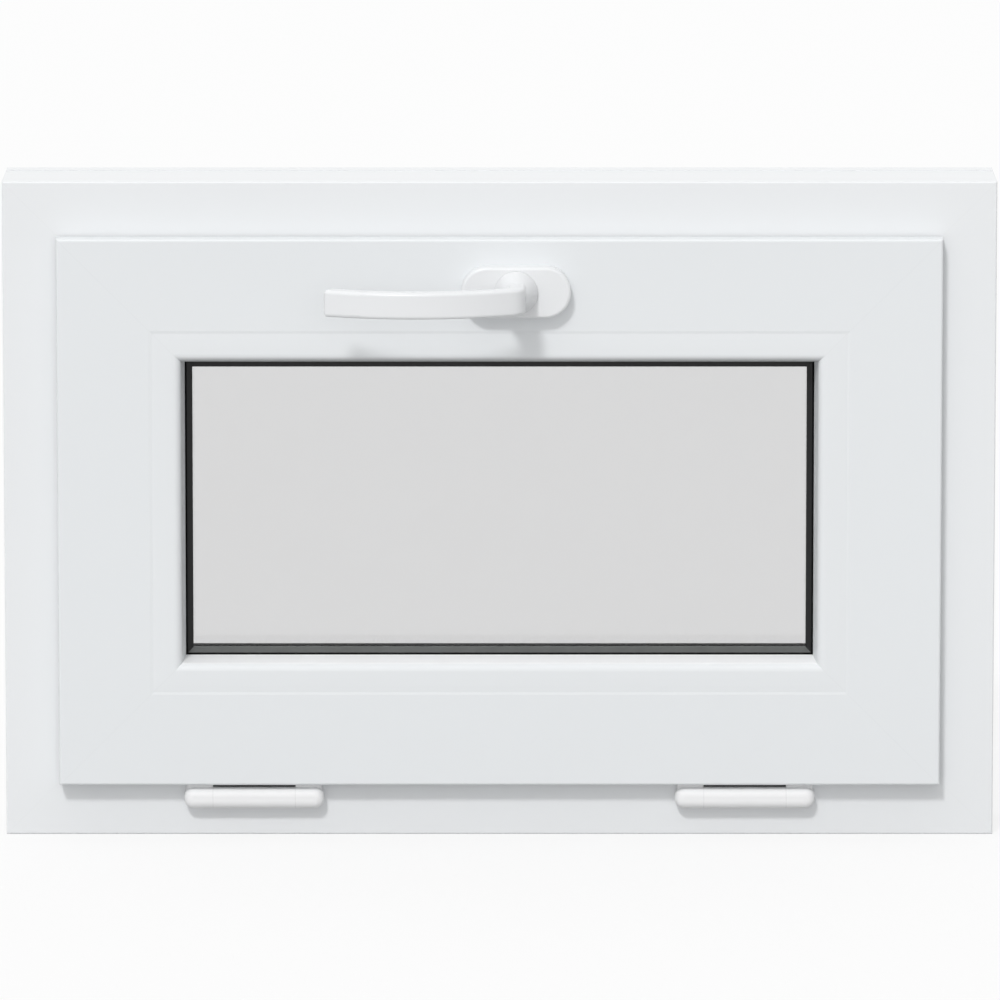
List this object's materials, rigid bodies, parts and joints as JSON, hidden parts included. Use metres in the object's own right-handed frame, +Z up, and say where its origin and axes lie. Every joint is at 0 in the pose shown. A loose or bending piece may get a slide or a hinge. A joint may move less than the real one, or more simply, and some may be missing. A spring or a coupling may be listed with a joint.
{
  "type": "hopper window",
  "caption": "Bottom-hung hopper window of white PVC, closed: outer frame, raised sash with mitred beads, sealed double glass, lever handle on the top rail and capped hinges below",
  "frame": {"origin": "middle of the underside of the outer frame, half way through its depth", "axes": "+X along the window to the right as seen from the room, -Y towards the room, +Z up"},
  "size_m": [0.6, 0.1616, 0.4],
  "materials": {
    "white_pvc": "satin",
    "white_lacquer": "satin",
    "white_cap": "satin",
    "black_gasket": "matte",
    "grey_seal": "matte",
    "clear_glass": "polished",
    "spacer_aluminium": "satin",
    "dark_steel": "matte"
  },
  "bodies": {
    "window": {"frame_sill": "white_pvc", "frame_head": "white_pvc", "frame_left_jamb": "white_pvc", "frame_right_jamb": "white_pvc", "sash_bottom_rail": "white_pvc", "sash_top_rail": "white_pvc", "sash_left_stile": "white_pvc", "sash_right_stile": "white_pvc", "bead_bottom": "white_pvc", "bead_top": "white_pvc", "bead_left": "white_pvc", "bead_right": "white_pvc", "inner_gasket_bottom": "black_gasket", "inner_gasket_top": "black_gasket", "inner_gasket_left": "black_gasket", "inner_gasket_right": "black_gasket", "outer_gasket_bottom": "black_gasket", "outer_gasket_top": "black_gasket", "outer_gasket_left": "black_gasket", "outer_gasket_right": "black_gasket", "sash_seal_bottom": "grey_seal", "sash_seal_top": "grey_seal", "sash_seal_left": "grey_seal", "sash_seal_right": "grey_seal", "frame_seal_bottom": "grey_seal", "frame_seal_top": "grey_seal", "frame_seal_left": "grey_seal", "frame_seal_right": "grey_seal", "glass_inner_pane": "clear_glass", "glass_outer_pane": "clear_glass", "spacer_bar": "spacer_aluminium", "handle_rosette": "white_lacquer", "hinge_covers": "white_cap", "hinge_leaf_left": "dark_steel", "hinge_leaf_right": "dark_steel", "drain_cap_left": "white_cap", "drain_cap_right": "white_cap"},
    "handle": {"handle_lever": "white_lacquer"}
  },
  "joints": [
    {"name": "handle_turn", "type": "hinge", "parent": "window", "child": "handle", "pos_m": [0.01, -0.0615, 0.336], "axis": [0, -1, 0], "range_deg": [0, 90]}
  ]
}
